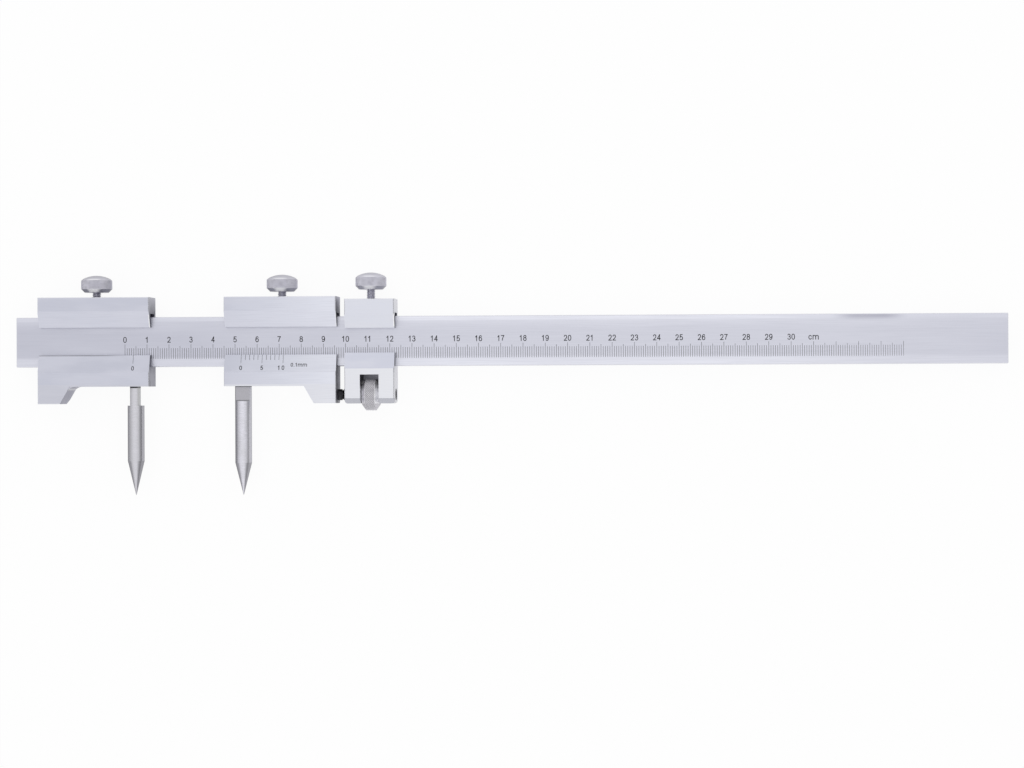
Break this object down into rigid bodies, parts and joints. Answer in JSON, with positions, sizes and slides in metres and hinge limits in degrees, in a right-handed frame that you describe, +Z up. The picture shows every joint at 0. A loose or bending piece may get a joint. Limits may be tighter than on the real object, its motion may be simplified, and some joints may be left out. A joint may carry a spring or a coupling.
{
  "type": "marking caliper",
  "caption": "Beam marking caliper: two scriber slides with clamp screws on a graduated steel beam, one slide set finely by a knurled nut.",
  "frame": {"origin": "under the middle of the whole tool as it lies on its back: half way along the beam, half way between the scribers' points and the highest clamp screw, on the plane that the backs of the slides rest on", "axes": "+X along the beam towards its long free end, +Y from the scribers' points towards the clamp screws, +Z up out of the graduated face"},
  "size_m": [0.446, 0.1, 0.015],
  "materials": {
    "beam_steel": "satin chromed, fine grinding along the beam",
    "slide_steel": "satin chromed over ground faces",
    "carriage_steel": "satin chromed over ground faces",
    "knurled_steel": "turned and diamond knurled, dull chromed",
    "scriber_steel": "hardened steel, ground round",
    "spring_steel": "tempered strip, dull",
    "blackened_steel": "black oxide, slightly oily",
    "nut_steel": "turned and knurled, dull"
  },
  "bodies": {
    "beam": {"beam": "beam_steel"},
    "left_slide": {"left_slide": "slide_steel", "left_gib_spring": "spring_steel", "left_scriber": "scriber_steel"},
    "left_clamp_screw": {"left_clamp_screw": "knurled_steel"},
    "carriage": {"carriage": "carriage_steel", "carriage_gib_spring": "spring_steel"},
    "carriage_clamp_screw": {"carriage_clamp_screw": "knurled_steel"},
    "adjusting_nut": {"adjusting_nut": "nut_steel"},
    "main_slide": {"main_slide": "slide_steel", "main_gib_spring": "spring_steel", "main_scriber": "scriber_steel", "adjusting_spindle": "blackened_steel", "spindle_pin": "spring_steel"},
    "main_clamp_screw": {"main_clamp_screw": "knurled_steel"}
  },
  "joints": [
    {"name": "left_slide_travel", "type": "slide", "parent": "beam", "child": "left_slide", "axis": [1, 0, 0], "range_m": [-0.0108, 0.01]},
    {"name": "carriage_travel", "type": "slide", "parent": "beam", "child": "carriage", "axis": [1, 0, 0], "range_m": [-0.016, 0.27]},
    {"name": "nut_turn", "type": "hinge", "parent": "carriage", "child": "adjusting_nut", "pos_m": [-0.0622, -0.00498, 0.0073], "axis": [1, 0, 0], "range_deg": [-1445, 3245]},
    {"name": "fine_travel", "type": "slide", "parent": "carriage", "child": "main_slide", "axis": [1, 0, 0], "range_m": [-0.0072, 0.0032]},
    {"name": "left_clamp_turn", "type": "hinge", "parent": "left_slide", "child": "left_clamp_screw", "pos_m": [-0.18685, 0.03922, 0.0073], "axis": [0, 1, 0], "range_deg": [0, 360]},
    {"name": "main_clamp_turn", "type": "hinge", "parent": "main_slide", "child": "main_clamp_screw", "pos_m": [-0.10245, 0.03922, 0.0073], "axis": [0, 1, 0], "range_deg": [0, 360]},
    {"name": "carriage_clamp_turn", "type": "hinge", "parent": "carriage", "child": "carriage_clamp_screw", "pos_m": [-0.0622, 0.03802, 0.0073], "axis": [0, 1, 0], "range_deg": [0, 360]}
  ],
  "couplings": [
    {"joint": "nut_turn", "follows": "fine_travel", "rad_per_m": -7854}
  ]
}
